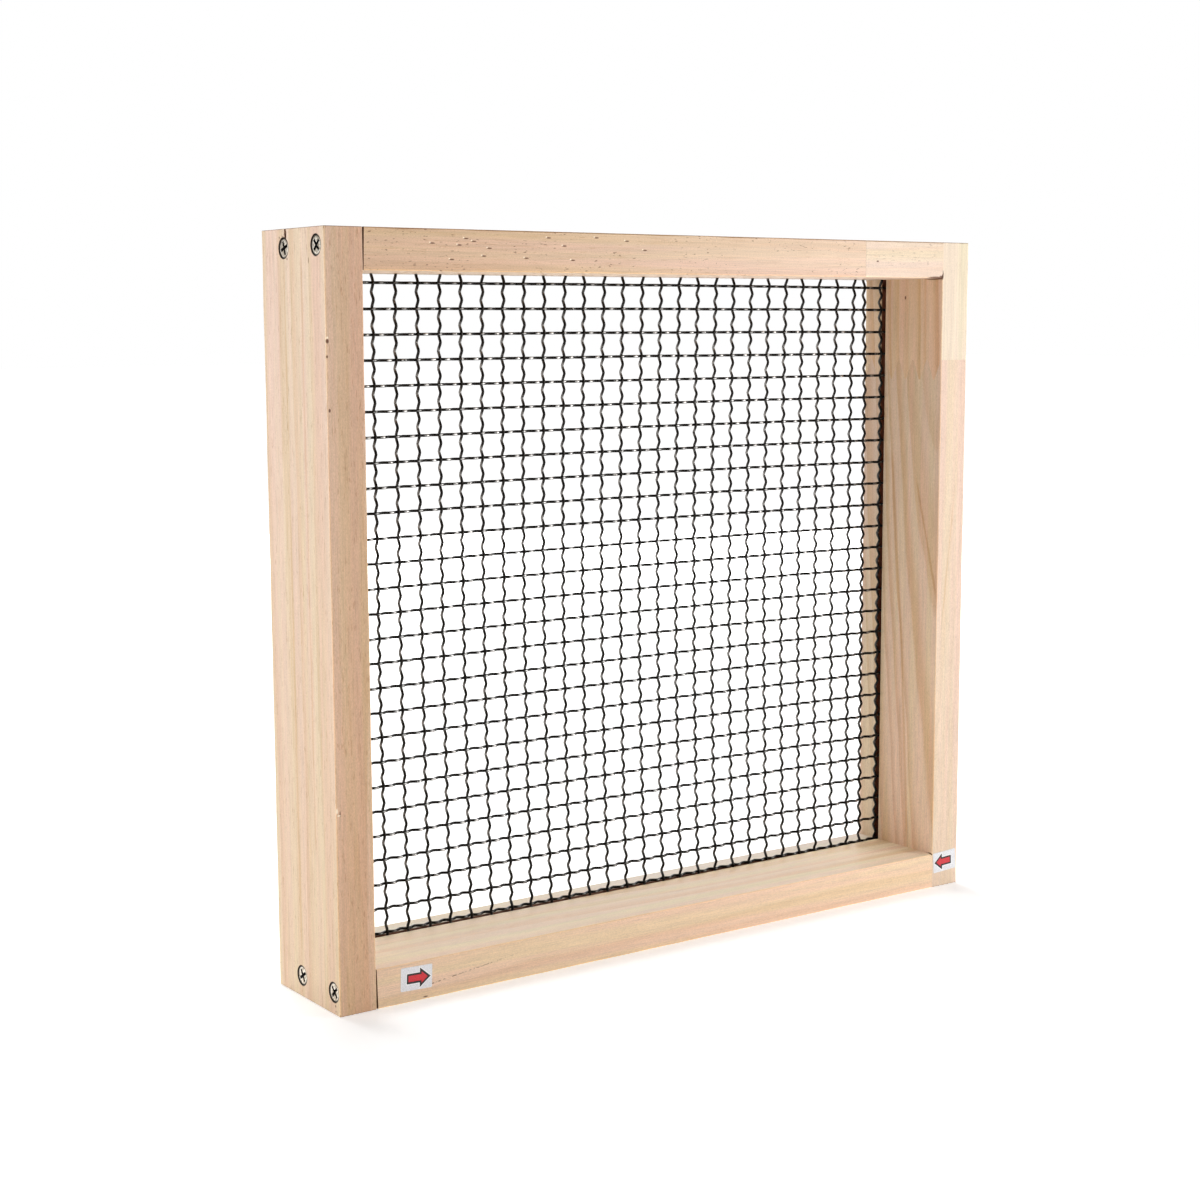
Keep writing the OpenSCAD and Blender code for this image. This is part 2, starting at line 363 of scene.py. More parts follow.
def pine(name, upright, wide, narrow, pith, drift, spacing, contrast, fade, flecks, ticks, seed,
         marks=(), chips=(), veins=(), crack=None, low_tone=None):
    """Planed pine, sawn through a field of growth rings.

    wide and narrow are the tones of the board's wide faces and of its front and back. pith is where the
    rings' centre lies, across the board and from front to back, and drift is how far it moves for each
    millimetre along the grain. spacing is the rings' width. contrast is the strength of the rings on the
    wide and on the narrow faces. fade is painted light and shade: the brightness of the wide faces at the
    board's low or left end and at its other end, and then that of the narrow faces. flecks is the strength
    of the resin flecks, and ticks that of the short brown marks and longer streaks. marks and chips are
    (place, size) of small dark spots, some of them painted shade in splits and corner gaps, and of spots
    where pale fibres were torn up. veins are (start, end, half width, strength) of single grain lines, and
    crack is the start and end of a hairline crack on the front, drawn as a dark line of painted shade.
    low_tone tints the board's low or left end, and fades out towards its other end.
    """
    g = Graph(name)
    x, y, z = g.split(g.place)
    across, along = (x, z) if upright else (z, x)
    board = g.join(across, y, along)

    # Growth rings
    sway = g.noise(board, (0.02, 0.02, 0.006), 2.0, seed)
    shake = g.noise(board, (0.35, 0.35, 0.03), 2.0, seed + 3)
    centre = g.join(*[g.line(along, *part) for part in zip(drift, pith)], 0.0)
    radius = g.vector("DISTANCE", g.join(across, y, 0.0), centre)
    radius = g.line(sway, 9.0, radius)
    radius = g.line(shake, 1.1, radius)
    uneven = g.noise(g.join(radius, seed, 0.0), (0.07, 1.0, 1.0), 1.0)
    count = g.line(uneven, 2.5, g.math("DIVIDE", radius, spacing))
    phase = g.math("FRACT", count)
    strength = g.node("TexWhiteNoise", noise_dimensions="1D")
    g.feed(strength.inputs["W"], g.math("FLOOR", count))
    strength = g.ramp(strength.outputs[0], 0.0, 1.0, 0.45, 1.0)
    rise = g.ramp(phase, 0.25, 0.86)
    fall = g.ramp(phase, 0.9, 1.0, 1.0, 0.0)
    ring = g.times(rise, fall, strength)

    # Fibres, broad streaks, pink and cream bands, fine grain, and short and long brown marks
    fibre = g.noise(board, (2.2, 2.2, 0.06), 3.0, seed + 5)
    streak = g.noise(board, (0.45, 0.45, 0.009), 2.0, seed + 7)
    tint = g.noise(board, (0.16, 0.16, 0.005), 2.0, seed + 9)
    grain = g.noise(board, (3.6, 3.6, 1.4), 2.0, seed + 11)
    tick = g.noise(board, (1.9, 1.9, 0.22), 1.0, seed + 12)
    dash = g.noise(board, (1.1, 1.1, 0.05), 2.0, seed + 14)

    facing_x, facing_y, facing_z = [g.math("ABSOLUTE", part) for part in g.split(g.normal)]
    facing_side, facing_end = (facing_x, facing_z) if upright else (facing_z, facing_x)
    narrow_face = g.ramp(facing_y, 0.3, 0.9)
    early = g.mix(narrow_face, wide, narrow)
    depth = g.times(ring, g.ramp(narrow_face, 0.0, 1.0, *contrast))
    colour = g.mix(depth, early, LATEWOOD, "MULTIPLY")
    bands = g.mix(g.ramp(tint, 0.36, 0.64), PINK_WOOD, CREAM_WOOD)
    colour = g.mix(1.0, colour, bands, "MULTIPLY")
    mottle = [(fibre, 0.42, 0.79), (streak, 0.2, 0.9), (grain, 0.5, 0.75)]
    shade = g.times(*[g.line(*part) for part in mottle])

    # Painted light and shade: a slow change of brightness along the board
    low, high = box_mm(name.removeprefix("pine_"))
    ends = (low.z, high.z) if upright else (low.x, high.x)
    wide_painted_light, narrow_painted_light = [g.ramp(along, *ends, *pair) for pair in fade]
    shade = g.times(shade, g.ramp(narrow_face, 0.0, 1.0, wide_painted_light, narrow_painted_light))
    colour = g.mix(1.0, colour, shade, "MULTIPLY")
    # A tint towards the board's low or left end
    if low_tone:
        colour = g.mix(g.ramp(along, *ends, 1.0, 0.0), colour, low_tone, "MULTIPLY")

    colour = g.mix(g.ramp(tick, 0.645, 0.73, 0.0, ticks), colour, TICK, "MULTIPLY")
    colour = g.mix(g.ramp(dash, 0.52, 0.72, 0.0, ticks), colour, STREAK, "MULTIPLY")

    # Painted highlight along the long edges, and darker edges at the ends
    arris_highlight = g.times(g.ramp(facing_side, 0.04, 0.25), g.ramp(facing_y, 0.04, 0.25))
    colour = g.mix(arris_highlight, colour, ARRIS_HIGHLIGHT, "MULTIPLY")
    from_middle = g.math("SUBTRACT", z, TOP / 2)
    if upright:
        from_middle = g.math("ABSOLUTE", from_middle)
    dark_end_edge = g.times(
        g.ramp(facing_z, 0.15, 0.4),
        g.ramp(facing_z, 0.85, 0.97, 1.0, 0.0),
        g.ramp(from_middle, TOP / 2 - 1.2, TOP / 2 - 0.8),
    )
    colour = g.mix(dark_end_edge, colour, DARK_END_EDGE, "MULTIPLY")

    # Single grain lines
    for start, end, half_width, depth in veins:
        from_start, line, run, reach = g.follow(start, end)
        off = g.vector("DISTANCE", from_start, g.vector("SCALE", tuple(line), scale=run))
        off = g.math("ADD", off, g.line(shake, 1.6, -0.8))
        fade_in, fade_out = g.ramp(run, -6.0, 3.0), g.ramp(run, reach - 8.0, reach + 3.0, 1.0, 0.0)
        vein = g.times(g.ramp(off, 0.1, half_width, depth, 0.0), fade_in, fade_out)
        colour = g.mix(vein, colour, LATEWOOD, "MULTIPLY")

    # Painted shade: the inner face is darker behind the screen, and the saw groove is painted dark brown
    # inside
    middle = 0.0 if upright else TOP / 2
    opening = (RIGHT if upright else TOP / 2) - BOARD_T
    sunk = g.math("SUBTRACT", g.math("ABSOLUTE", g.math("SUBTRACT", across, middle)), opening)
    past_screen = g.ramp(y, SCREEN_Y, SCREEN_Y + GROOVE_W / 2)
    behind = g.times(g.ramp(sunk, 0.1, 0.6, 1.0, 0.0), past_screen)
    colour = g.mix(behind, colour, SHADE_BEHIND_SCREEN[upright], "MULTIPLY")
    off_screen = g.math("ABSOLUTE", g.math("SUBTRACT", y, SCREEN_Y))
    above_floor = g.ramp(sunk, GROOVE_DEPTH + 0.1, GROOVE_DEPTH + 0.4, 1.0, 0.0)
    between_walls = g.ramp(off_screen, GROOVE_W / 2 + 0.05, GROOVE_W / 2 + 0.2, 1.0, 0.0)
    # Painted shade in the saw groove, dark brown inside
    groove = g.times(g.ramp(sunk, 0.1, 0.5), above_floor, between_walls)
    colour = g.mix(groove, colour, g.mix(fibre, rgb(100, 56, 38), rgb(150, 92, 64)))

    # Painted shade: a dark ring round each screw head
    if upright:
        for _, side, head in screw_places():
            if (side == "left") == ("left" in name):
                out = g.vector("DISTANCE", g.place, tuple(head))
                rim = g.ramp(out, HEAD_R + 0.1, HEAD_R + 0.45, 1.0, 0.0)
                colour = g.mix(rim, colour, SCREW_RIM_SHADE)

    # Resin flecks: short dark dashes along the grain, in loose groups
    fleck_and_shade = g.noise(board, (1.5, 1.5, 0.42), 1.0, seed + 13)
    group = g.noise(board, (0.11, 0.11, 0.03), 1.0, seed + 15)
    fleck_and_shade = g.times(g.ramp(fleck_and_shade, 0.65, 0.71), g.ramp(group, 0.46, 0.56), flecks)
    # The given marks are dark spots; some are painted shade in splits and corner gaps
    for place, size in marks:
        fleck_and_shade = g.math("MAXIMUM", fleck_and_shade, g.ramp(g.from_spot(place, size), 0.6, 1.15, 0.9, 0.0))
    # The hairline crack is a dark line of painted shade
    if crack:
        from_start, line, run, reach = g.follow(*crack)
        off = g.math("ABSOLUTE", g.vector("DOT_PRODUCT", from_start, (-line.z, 0, line.x)))
        torn = g.noise(board, (0.9, 0.9, 0.9), 2.0, seed + 21)
        hair = g.times(
            g.ramp(off, 0.08, 0.3, 1.0, 0.0),
            g.ramp(torn, 0.42, 0.58),
            g.ramp(run, 0.0, 0.5),
            g.ramp(run, 4.0, reach, 0.95, 0.0),
        )
        fleck_and_shade = g.math("MAXIMUM", fleck_and_shade, hair)
    colour = g.mix(fleck_and_shade, colour, RESIN_AND_SHADE)
    for place, size in chips:
        colour = g.mix(g.ramp(g.from_spot(place, size), 0.5, 1.1, 0.85, 0.0), colour, TORN_FIBRE)

    # End grain is darker and rougher. The rails' ends, deep in the corner joints, are darkest, with painted
    # shade
    end_grain = g.ramp(facing_end, 0.6, 0.95)
    pores = g.noise(board, (3.5, 3.5, 0.2), 2.0, seed + 17)
    saw = g.noise(board, (0.5, 4.0, 0.5), 2.0, seed + 19)
    end_shade = g.line(pores, 0.3, g.line(saw, 0.22, 0.5))
    # Painted shade on the rails' ends, which lie deep in the corner joints
    if not upright:
        end_shade = g.mix(1.0, end_shade, JOINT_GAP_SHADE, "MULTIPLY")
    colour = g.mix(end_grain, colour, end_shade, "MULTIPLY")

    roughness = g.line(ring, -0.1, g.line(fibre, 0.2, 0.5))
    g.skin(colour, g.line(end_grain, 0.15, roughness))
    g.shader.inputs["Specular IOR Level"].default_value = 0.35
    height = g.line(ring, 0.35, fibre)
    height = g.line(fleck_and_shade, -1.2, height)
    height = g.line(g.times(end_grain, saw), 2.0, height)
    g.bump(height, 0.05, 0.6)
    return g.material


def wire_steel(name, highlight_from, highlight_to, highlight_tone):
    """Drawn steel wire, black with scale, with a painted highlight on some of its bends.

    The two numbers after the name are how far behind the middle of the screen the painted highlight begins
    and is full, measured on both sides alike where the first is positive. The colour after them is the
    painted highlight's tone.
    """
    g = Graph(name)
    x, y, z = g.split(g.place)
    from_middle_x = g.math("DIVIDE", x, HALF_OPEN_X)
    from_middle_z = g.math("DIVIDE", g.math("SUBTRACT", z, TOP / 2), HALF_OPEN_Z)
    arches = [
        g.math("SUBTRACT", 1.0, g.times(t, t), clamp=True)
        for t in (from_middle_x, from_middle_z)
    ]
    bulge = g.times(*arches, BULGE)
    out = g.math("SUBTRACT", g.math("SUBTRACT", y, SCREEN_Y), bulge)
    if highlight_from > 0:
        out = g.math("ABSOLUTE", out)
    scale = g.noise(g.place, (0.9, 0.9, 0.9), 3.0, 2.0)
    speck = g.noise(g.place, (2.2, 2.2, 2.2), 2.0, 4.0)
    # Painted highlight on the bends, broken up by the scale
    painted_highlight = g.times(g.ramp(out, highlight_from, highlight_to), g.ramp(scale, 0.28, 0.55))
    # Painted shade: the painted highlight is weaker near the boards, which shade the wires
    out_of_board_shade = g.ramp(g.math("MINIMUM", *arches), 0.0, 0.5, 0.25, 1.0)
    colour = g.mix(g.ramp(speck, 0.4, 0.7), (0.01, 0.009, 0.008, 1), (0.045, 0.04, 0.037, 1))
    colour = g.mix(g.times(painted_highlight, out_of_board_shade), colour, highlight_tone)
    g.skin(colour, g.line(scale, 0.3, 0.25), 1.0)
    g.bump(g.noise(g.place, (4.0, 4.0, 4.0), 2.0, 6.0), 0.02)
    return g.material


def zinc():
    """Bright zinc plate on a pressed screw head."""
    g = Graph("zinc_plate")
    cloud = g.noise(g.place, (0.8, 0.8, 0.8), 3.0, 1.0)
    scratch = g.noise(g.place, (1.0, 9.0, 1.5), 2.0, 3.0)
    colour = g.mix(g.ramp(cloud, 0.38, 0.62), (0.45, 0.38, 0.29, 1), (0.92, 0.85, 0.74, 1))
    # Painted shade: a dark ring round the edge of each head
    out = None
    for _, _, head in screw_places():
        from_head = g.vector("DISTANCE", g.place, tuple(head))
        out = from_head if out is None else g.math("MINIMUM", out, from_head)
    edge = g.ramp(out, HEAD_R - 0.85, HEAD_R - 0.3, 0.0, 0.97)
    edge = g.times(edge, g.ramp(out, HEAD_R + 0.6, HEAD_R + 1.1, 1.0, 0.0))
    colour = g.mix(edge, colour, (0.015, 0.012, 0.01, 1))
    g.skin(colour, g.line(scratch, 0.3, 0.2), 0.6)
    g.bump(scratch, 0.02, 0.5)
    return g.material


def recess_shade():
    """Painted shade: near-black plating down in the cross recess."""
    g = Graph("recess_shade")
    cloud = g.noise(g.place, (2.5, 2.5, 2.5), 3.0, 8.0)
    colour = g.mix(g.ramp(cloud, 0.35, 0.7), (0.01, 0.009, 0.008, 1), (0.035, 0.032, 0.03, 1))
    g.skin(colour, g.line(cloud, 0.4, 0.35), 0.8)
    g.bump(cloud, 0.04)
    return g.material


def printed(name, dark, light, roughness):
    """Printed foil paper: a fine mottle between two near tones."""
    g = Graph(name)
    dots = g.noise(g.place, (4.5, 4.5, 4.5), 2.0, 5.0)
    wear = g.noise(g.place, (0.5, 0.5, 0.5), 3.0, 7.0)
    colour = g.mix(g.ramp(dots, 0.35, 0.65), dark, light)
    colour = g.mix(g.ramp(wear, 0.5, 0.8, 0.0, 0.25), colour, light)
    g.skin(colour, g.line(wear, 0.2, roughness))
    g.bump(dots, 0.01, 0.4)
    return g.material


# The floor is lit from below, as a light table is, and brightens into the white room between two
# distances from the object
FLOOR_GLOW = 0.36
GLOW_NEAR, GLOW_FAR = 500, 1500


def pale_floor():
    """Smooth white studio board with a faint unevenness."""
    g = Graph("studio_floor")
    cloud = g.noise(g.place, (0.004, 0.004, 0.004), 3.0, 1.0)
    colour = g.mix(cloud, (0.9, 0.9, 0.9, 1), (0.93, 0.93, 0.93, 1))
    g.skin(colour, g.line(cloud, 0.1, 0.75))
    away = g.vector("LENGTH", g.place)
    g.shader.inputs["Emission Color"].default_value = (1, 1, 1, 1)
    g.feed(g.shader.inputs["Emission Strength"], g.ramp(away, GLOW_NEAR, GLOW_FAR, FLOOR_GLOW, 1.0))
    return g.material


# ------------------------ boards

# Each board's own axes (along, inward from its outer face, back) placed in the frame
PLACES = {
    "left": lambda along, inward, back: Vector((LEFT + inward, back, along)),
    "right": lambda along, inward, back: Vector((RIGHT - inward, back, along)),
    "bottom": lambda along, inward, back: Vector((along, back, inward)),
    "top": lambda along, inward, back: Vector((along, back, TOP - inward)),
}
ARC_STEPS = 4
STATION = 6.0
# Bevel at the ends of an upright board, and at those of a rail
END_BEVEL = {True: 0.25, False: 0.05}
# Radius of the long edges and how far it varies, and the radius where the rails' ends meet the stiles
EDGE_R = 0.5
EDGE_R_SWAY = 0.3
JOINED_EDGE = 0.1


def board_section(radii):
    """Outline of a board as (inward, back) points. The radii round its four long edges."""
    corners = [(0, FRONT), (BOARD_T, FRONT), (BOARD_T, BACK), (0, BACK)]
    points = []
    for number, (inward, back) in enumerate(corners):
        radius = radii[number]
        centre_in = inward + (radius if inward == 0 else -radius)
        centre_back = back + (radius if back == FRONT else -radius)
        for step in range(ARC_STEPS + 1):
            angle = math.radians(180 + 90 * number + 90 * step / ARC_STEPS)
            points.append((centre_in + radius * math.cos(angle), centre_back + radius * math.sin(angle)))
        if number == 1:
            near, far = SCREEN_Y - GROOVE_W / 2, SCREEN_Y + GROOVE_W / 2
            floor_in = BOARD_T - GROOVE_DEPTH
            points += [(BOARD_T, near), (floor_in, near), (floor_in, far), (BOARD_T, far)]
    return points


def inset(point, amount):
    """Moves an outline's point inwards to the edge of the end bevel."""
    inward, back = point
    return min(max(inward, amount), BOARD_T - amount), min(max(back, FRONT + amount), BACK - amount)


def board_mesh(side, start, end, seed, skew):
    """A planed board with softened edges. skew is how far its first end cut is out of square."""
    place = PLACES[side]
    upright = side in ("left", "right")
    bevel = END_BEVEL[upright]
    if upright:
        joined = [start + BOARD_T, start + BOARD_T + 1, end - BOARD_T - 1, end - BOARD_T]
        marks = [start + bevel, *joined, end - bevel]
    else:
        marks = [start + bevel, end - bevel]
    inner = [marks[0]]
    for low, high in zip(marks, marks[1:]):
        spans = max(1, round((high - low) / STATION))
        inner += [low + (high - low) * (k + 1) / spans for k in range(spans)]
    stations = [start, *inner, end]
    rings = []
    for number, along in enumerate(stations):
        spots = [Vector((along * 0.05, edge * 7.3, seed)) for edge in range(4)]
        radii = [EDGE_R + EDGE_R_SWAY * noise.noise(spot) for spot in spots]
        if upright and not marks[1] < along < marks[4]:
            radii[1] = radii[2] = JOINED_EDGE
        at_end = number in (0, len(stations) - 1)
        ring = []
        for point in board_section(radii):
            inward, back = inset(point, bevel) if at_end else point
            shift = skew * (0.5 - inward / BOARD_T) if number < 2 else 0.0
            ring.append(place(along + shift, inward, back))
        rings.append(ring)
    bm = bmesh.new()
    add_rings(bm, rings)
    return bm


def soften_shading(mesh):
    """Shades the rounded edges smooth and every flat face flat."""
    flat = {}
    for polygon in mesh.polygons:
        flat[polygon.index] = max(abs(c) for c in polygon.normal) > 0.9999
    owners = {}
    for polygon in mesh.polygons:
        for key in polygon.edge_keys:
            owners.setdefault(key, []).append(polygon.index)
    mesh.shade_smooth()
    mesh.set_sharp_from_angle(angle=math.radians(40))
    sharp = mesh.attributes.get("sharp_edge") or mesh.attributes.new("sharp_edge", "BOOLEAN", "EDGE")
    for edge in mesh.edges:
        if any(flat[index] for index in owners[edge.key]):
            sharp.data[edge.index].value = True


def joint_outline(line):
    """The zigzag of a finger joint as (along, back) points, with its line on the front at the given place."""
    step = BOARD_D / FINGER_COUNT
    points = []
    for k in range(FINGER_COUNT + 1):
        for side in (-1, 1):
            low = 0.0 if k % 2 == 0 else FINGER_LEN
            points.append((line - low, FRONT + k * step + side * FINGER_FLAT / 2))
    return points


def joint_block(side, line, gap):
    """Closed solid that holds everything before a finger joint."""
    place = PLACES[side]
    edge = [(along + gap, back) for along, back in joint_outline(line)]
    before = RAIL_LEFT - 4 * CUT_MARGIN
    near, far = FRONT - CUT_MARGIN, BACK + CUT_MARGIN
    outline = [(before, near), (line + gap, near), *edge, (edge[-1][0], far), (before, far)]
    points = [place(along, -2, back) for along, back in outline]
    offset = place(0, BOARD_T + 2, 0) - place(0, -2, 0)
    bm = bmesh.new()
    add_prism(bm, points, offset)
    return make_object("cut_joint", bm, [])


def screw_places():
    """(name, side, head centre) of every screw, from the CAD."""
    found = []
    for side in ("left", "right"):
        for spot in TURNS:
            name = f"screw_{side}_{spot}"
            low, high = box_mm(name)
            middle = (low + high) / 2
            outer = LEFT if side == "left" else RIGHT
            found.append((name, side, Vector((outer, middle.y, middle.z))))
    return found


def screw_hole(side, head, seed):
    """Countersunk hole, a little torn where the screw head pressed the fibres down."""
    inward = 1 if side == "left" else -1
    profile = [
        (-1.0, HEAD_R + 0.22),
        (HEAD_SINK + HEAD_EDGE, HEAD_R + HOLE_CLEAR),
        (HEAD_SINK + HEAD_H, SHANK_R + HOLE_CLEAR),
        (SCREW_LEN + 1.0, THREAD_R + HOLE_CLEAR),
    ]
    rings = []
    for depth, radius in profile:
        ring = []
        for k in range(HOLE_SIDES):
            angle = math.tau * k / HOLE_SIDES
            torn = HOLE_TORN * noise.noise(Vector((2.5 * math.cos(angle), 2.5 * math.sin(angle), seed)))
            reach = radius + (abs(torn) if depth < 0 else 0)
            ring.append(head + Vector((inward * depth, reach * math.cos(angle), reach * math.sin(angle))))
        rings.append(ring)
    bm = bmesh.new()
    add_rings(bm, rings)
    return make_object("cut_hole", bm, [])


def wedge(points):
    """A chipped corner: a closed cut with four corner points."""
    bm = bmesh.new()
    corners = [bm.verts.new(point) for point in points]
    for leave in range(4):
        bm.faces.new([corners[k] for k in range(4) if k != leave])
    return make_object("cut_wedge", bm, [])


def split(start, end, width, normal, depth):
    """A split in the wood: a long thin diamond from start to end, cut to a depth below the surface."""
    start, end, normal = Vector(start), Vector(end), Vector(normal)
    across = (end - start).cross(normal).normalized() * width / 2
    middle = start.lerp(end, 0.4)
    above = normal * 0.5
    outline = [point + above for point in (start, middle + across, end, middle - across)]
    bm = bmesh.new()
    add_prism(bm, outline, -normal * (depth + 0.5))
    return make_object("cut_split", bm, [])


# ------------------------ the object


def make_boards():
    """All six blocks of pine, cut for the screws, the finger joints and the small faults of the wood."""
    corner_x = RIGHT - BOARD_T
    under_z = TOP - BOARD_T
    rail_top = BOARD_T
    left_wood = pine(
        "pine_left_stile", True, rgb(217, 196, 176), rgb(215, 184, 158),
        (-190, -60), (0.0, 0.015), 12.0, (0.5, 0.7), ((1.0, 0.97), (1.0, 0.92)), 0.1, 0.5, 1.0,
        chips=[
            ((LEFT + 0.6, FRONT, 259.3), (0.5, 0.5, 0.5)),
            ((LEFT + 0.5, FRONT, 81.0), (0.5, 0.5, 1.3)),
            ((LEFT + 1.3, FRONT, 79.2), (0.8, 0.5, 0.35)),
        ],
        veins=[
            ((LEFT, FRONT + 18.5, 290), (LEFT, FRONT + 17.0, 60), 0.9, 0.6),
            ((LEFT, FRONT + 32.5, 285), (LEFT, FRONT + 31.0, 20), 0.9, 0.55),
        ],
        marks=[
            ((LEFT + 0.6, FRONT, 258), (0.7, 0.7, 0.9)),
            ((LEFT + 0.4, FRONT, 252.3), (0.4, 0.5, 0.6)),
            ((LEFT + 1.0, FRONT, 232.5), (0.5, 0.5, 0.8)),
            ((LEFT + 1.8, FRONT, 79.8), (0.25, 0.4, 1.2)),
            # Painted shade inside the split above the rear screw
            ((LEFT, FRONT + 30.9, 298.4), (4.5, 1.0, 2.4)),
            ((LEFT, FRONT + 35.9, 296.8), (0.5, 0.4, 0.5)),
            ((LEFT, FRONT + 29.8, 288.7), (0.5, 0.4, 0.6)),
            ((LEFT, FRONT + 12.4, 287.7), (0.4, 0.25, 1.3)),
            ((LEFT, FRONT + 3.4, 3.6), (0.4, 0.4, 0.6)),
            ((LEFT, FRONT + 3.3, 1.5), (0.4, 0.3, 0.4)),
        ],
        low_tone=(1.0, 0.985, 0.89, 1),
    )
    dash = (1.2, 0.4, 0.3)
    bottom_wood = pine(
        "pine_bottom_rail", False, rgb(236, 217, 188), rgb(233, 205, 174),
        (-70, 38), (0.03, 0.02), 6.5, (0.8, 0.3), ((1.0, 1.0), (0.96, 1.05)), 0.05, 0.1, 21.0,
        marks=[((LEFT + 38.0, FRONT, 1.0), dash)],
        # The crack is drawn as a dark line of painted shade
        crack=((LEFT + 40.0, FRONT, 5.6), (LEFT + 94.0, FRONT, 12.2)),
    )
    resin = [
        (46.0, 294.5), (54.5, 288.5), (58.0, 294.0), (61.0, 296.5), (64.5, 295.5), (71.5, 293.0),
        (69.0, 290.0), (99.0, 297.5), (106.5, 294.5), (88.5, 289.5), (110.5, 289.0), (122.0, 298.0),
        (137.0, 297.0), (146.0, 293.5),
    ]
    top_left_wood = pine(
        "pine_top_rail_left", False, rgb(220, 193, 168), rgb(227, 199, 177),
        (352, -90), (0.01, 0.02), 8.0, (0.4, 0.5), ((0.86, 1.02), (0.85, 0.97)), 0.65, 0.4, 33.0,
        marks=[((LEFT + x, FRONT, z), dash) for x, z in resin],
        chips=[((LEFT + x - 1.1, FRONT, z + 0.3), (0.45, 0.4, 0.3)) for x, z in resin],
        low_tone=(0.99, 0.945, 0.8, 1),
    )
    top_right_wood = pine(
        "pine_top_rail_right", False, rgb(224, 200, 178), rgb(229, 210, 187),
        (240, -60), (0.02, 0.01), 7.0, (0.4, 0.35), ((1.0, 1.0), (0.97, 0.94)), 0.3, 0.2, 47.0,
        marks=[
            # Painted shade along the gap under the rail's end, and in the notch at the corner
            ((corner_x - 4.2, FRONT, under_z), (5.5, 0.9, 0.8)),
            ((corner_x - 1.0, FRONT, under_z + 0.4), (1.4, 0.6, 0.8)),
            ((corner_x - 40.0, FRONT, TOP - 9.0), (0.8, 0.4, 0.4)),
        ],
    )
    upper_wood = pine(
        "pine_right_stile_upper", True, rgb(236, 204, 170), rgb(238, 224, 198),
        (120, 45), (0.02, 0.04), 6.0, (0.9, 0.2), ((0.82, 0.75), (0.85, 0.83)), 0.1, 0.2, 53.0,
        marks=[
            # Painted shade in the notch under the top rail, and along the gap behind it
            ((corner_x, FRONT, under_z + 1.4), (0.6, 2.5, 2.2)),
            ((corner_x, FRONT + 5, under_z), (0.5, 7.0, 0.7)),
            ((corner_x, FRONT + 24, under_z - 8.5), (0.4, 0.6, 0.9)),
        ],
    )
    lower_wood = pine(
        "pine_right_stile_lower", True, rgb(234, 207, 178), rgb(230, 206, 183),
        (119, -32), (0.08, 0.04), 5.5, (0.85, 0.2), ((1.11, 0.78), (0.96, 0.89)), 0.1, 0.2, 65.0,
        veins=[
            ((corner_x, FRONT + 14.1, 189), (corner_x, FRONT + 0.2, 136.8), 1.0, 0.9),
            ((corner_x, FRONT + 31, 200), (corner_x, FRONT + 22.5, 105.7), 1.3, 0.8),
            ((corner_x, FRONT + 22.5, 105.7), (corner_x, FRONT + 17.1, 19.4), 1.3, 0.8),
            ((corner_x + 10, FRONT, 187), (corner_x + 3.3, FRONT, 124.3), 0.8, 0.5),
        ],
        # Painted shade in the gap at the bottom corner
        marks=[((corner_x, FRONT + 1.7, rail_top - 0.3), (0.5, 1.8, 0.8))],
    )

    def cut_holes(side, end=""):
        """Hole cutters on one side of the frame, at one end or at both."""
        heads = [head for name, where, head in screw_places() if where == side and end in name]
        seed = 7 if side == "left" else 3
        return [screw_hole(side, head, number + seed) for number, head in enumerate(heads)]

    left_splits = [
        split((LEFT, FRONT + 31.3, 300.5), (LEFT, FRONT + 30.2, 295.6), 2.0, (-1, 0, 0), 4.0),
        split((LEFT, FRONT + 34.1, 297.9), (LEFT, FRONT + 32.3, 296.2), 0.3, (-1, 0, 0), 1.0),
    ]
    open_top = [
        (corner_x + 0.2, FRONT - 0.5, under_z + 3.2), (corner_x + 0.2, FRONT - 0.5, under_z - 0.5),
        (corner_x + 0.2, FRONT + 10.5, under_z - 0.5), (corner_x - 1.0, FRONT - 0.5, under_z - 0.5),
    ]
    open_bottom = [
        (corner_x + 0.2, FRONT - 0.5, rail_top - 0.8), (corner_x + 0.2, FRONT - 0.5, rail_top + 0.5),
        (corner_x + 0.2, FRONT + 4.5, rail_top + 0.5), (corner_x - 4.5, FRONT - 0.5, rail_top + 0.5),
    ]

    plan = [
        ("left_stile", "left", left_wood, 3),
        ("bottom_rail", "bottom", bottom_wood, 5),
        ("top_rail_left", "top", top_left_wood, 9),
        ("top_rail_right", "top", top_right_wood, 9),
        ("right_stile_lower", "right", lower_wood, 13),
        ("right_stile_upper", "right", upper_wood, 13),
    ]
    cuts = {
        "left_stile": lambda: cut_holes("left") + left_splits,
        "bottom_rail": lambda: [
            *cut_holes("left", "bottom"), *cut_holes("right", "bottom"), wedge(open_bottom),
        ],
        "top_rail_left": lambda: cut_holes("left", "top"),
        "top_rail_right": lambda: cut_holes("right", "top") + [wedge(open_top)],
        "right_stile_lower": lambda: cut_holes("right", "bottom"),
        "right_stile_upper": lambda: cut_holes("right", "top"),
    }
    lines = {"top": TOP_JOINT, "right": STILE_JOINT}
    boards = []
    for node, side, wood, seed in plan:
        if side in ("left", "right"):
            bm = board_mesh(side, 0, TOP, seed, 0.0)
        else:
            bm = board_mesh(side, RAIL_LEFT + RAIL_SHORT, RIGHT - BOARD_T, seed, END_SKEW)
        board = make_object("pine_" + node, bm, [wood])
        if node in ("top_rail_left", "right_stile_lower"):
            carve(board, [joint_block(side, lines[side], 0.0)], "INTERSECT")
        elif side in lines:
            carve(board, [joint_block(side, lines[side], GLUE)])
        carve(board, cuts[node]())
        soften_shading(board.data)
        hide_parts(node)
        boards.append(board)
    return boards


